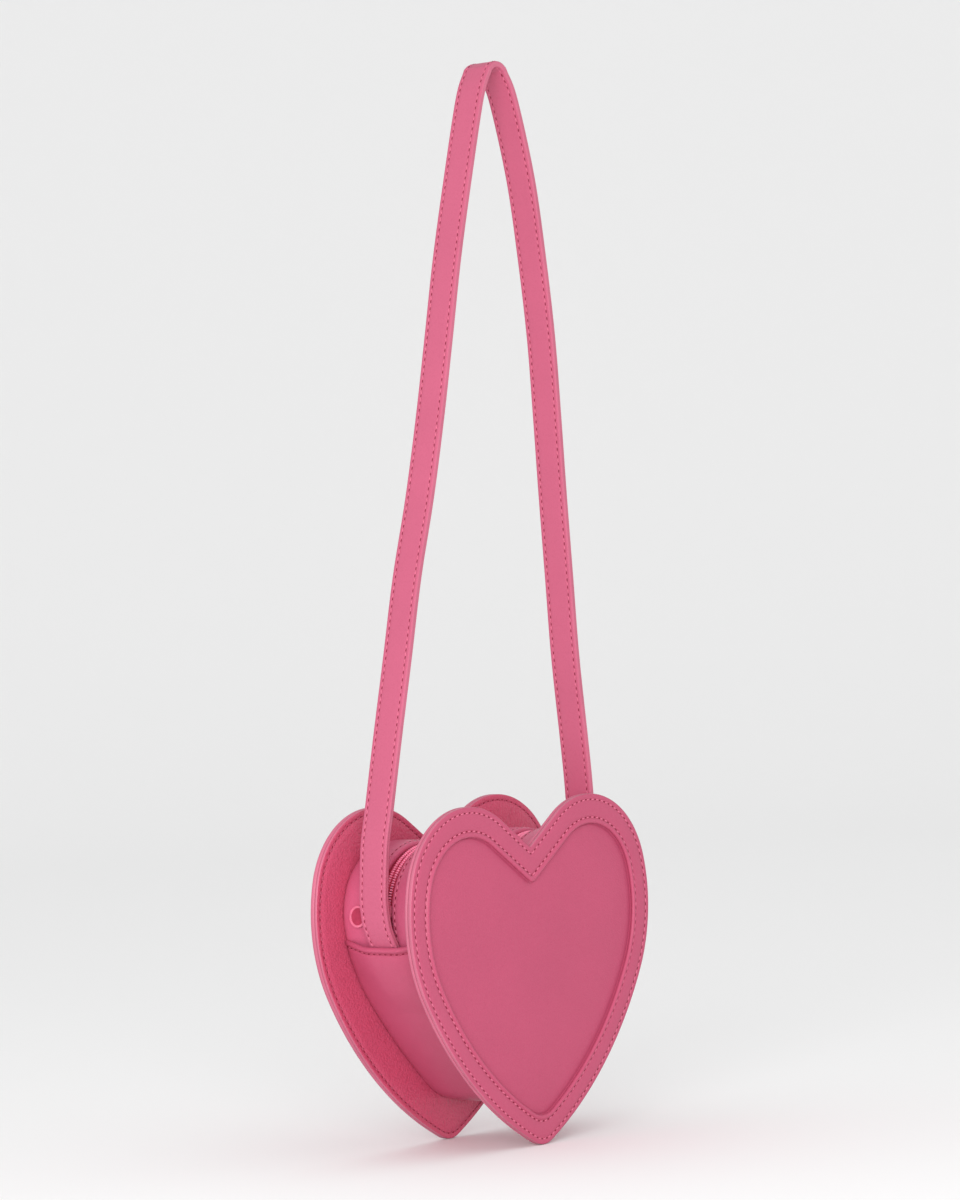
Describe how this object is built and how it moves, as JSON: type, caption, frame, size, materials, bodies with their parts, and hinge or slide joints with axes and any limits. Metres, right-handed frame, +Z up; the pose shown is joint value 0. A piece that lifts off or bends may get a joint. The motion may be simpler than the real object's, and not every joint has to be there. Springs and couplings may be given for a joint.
{
  "type": "heart shaped purse",
  "caption": "Shoulder purse of two flat heart panels set on a smaller heart shaped gusset, with a recessed zip over the top and one long strap from side to side.",
  "frame": {"origin": "underside of the strap at its top, where the purse hangs from a hook or hand", "axes": "+X to the right across the front heart, +Y from the front heart to the back heart, +Z up; the front face looks along -Y"},
  "size_m": [0.1756, 0.0618, 0.5089],
  "materials": {
    "face_leather": "smooth, satin",
    "ring_leather": "smooth, satin",
    "grained_leather": "pebble grain",
    "gusset_leather": "smooth, satin",
    "strap_leather": "smooth, satin",
    "strap_filler": "woven",
    "board": "raw fibreboard",
    "zip_tape": "woven",
    "zip_coil": "gloss",
    "enamelled_metal": "gloss enamel",
    "lining": "woven"
  },
  "bodies": {
    "strap": {"strap_outer_layer": "strap_leather", "strap_core": "strap_filler", "strap_inner_layer": "strap_leather"},
    "bag": {"front_leather": "face_leather", "front_ring_overlay": "ring_leather", "front_board": "board", "front_facing": "grained_leather", "back_leather": "face_leather", "back_board": "board", "back_facing": "grained_leather", "lower_gusset": "gusset_leather", "zip_strip_front": "gusset_leather", "zip_strip_back": "gusset_leather", "zip_tape_front": "zip_tape", "zip_tape_back": "zip_tape", "zip_coil_front": "zip_coil", "zip_coil_back": "zip_coil", "zip_stops": "enamelled_metal", "lining_front": "lining", "lining_rear": "lining", "lining_gusset": "lining", "strap_leg_left": "strap_leather", "strap_leg_right": "strap_leather"},
    "slider": {"zip_slider": "enamelled_metal"},
    "link": {"pull_link": "enamelled_metal"},
    "pull": {"pull_tab": "enamelled_metal"}
  },
  "joints": [
    {"name": "bag_swing", "type": "hinge", "parent": "strap", "child": "bag", "pos_m": [-0.031, 0, -0.33773], "axis": [1, 0, 0], "range_deg": [-90, 90]},
    {"name": "slider_travel", "type": "hinge", "parent": "bag", "child": "slider", "pos_m": [-0.0695, 0, -0.39433], "axis": [0, 1, 0], "range_deg": [0, 125]},
    {"name": "link_swivel", "type": "hinge", "parent": "slider", "child": "link", "pos_m": [-0.1028, 0, -0.38832], "axis": [0.9945, 0, -0.1045], "range_deg": [0, 224]},
    {"name": "pull_lift", "type": "hinge", "parent": "link", "child": "pull", "pos_m": [-0.10375, 0.01057, -0.39251], "axis": [0.0969, 0.3746, 0.9221], "range_deg": [0, 60]}
  ]
}
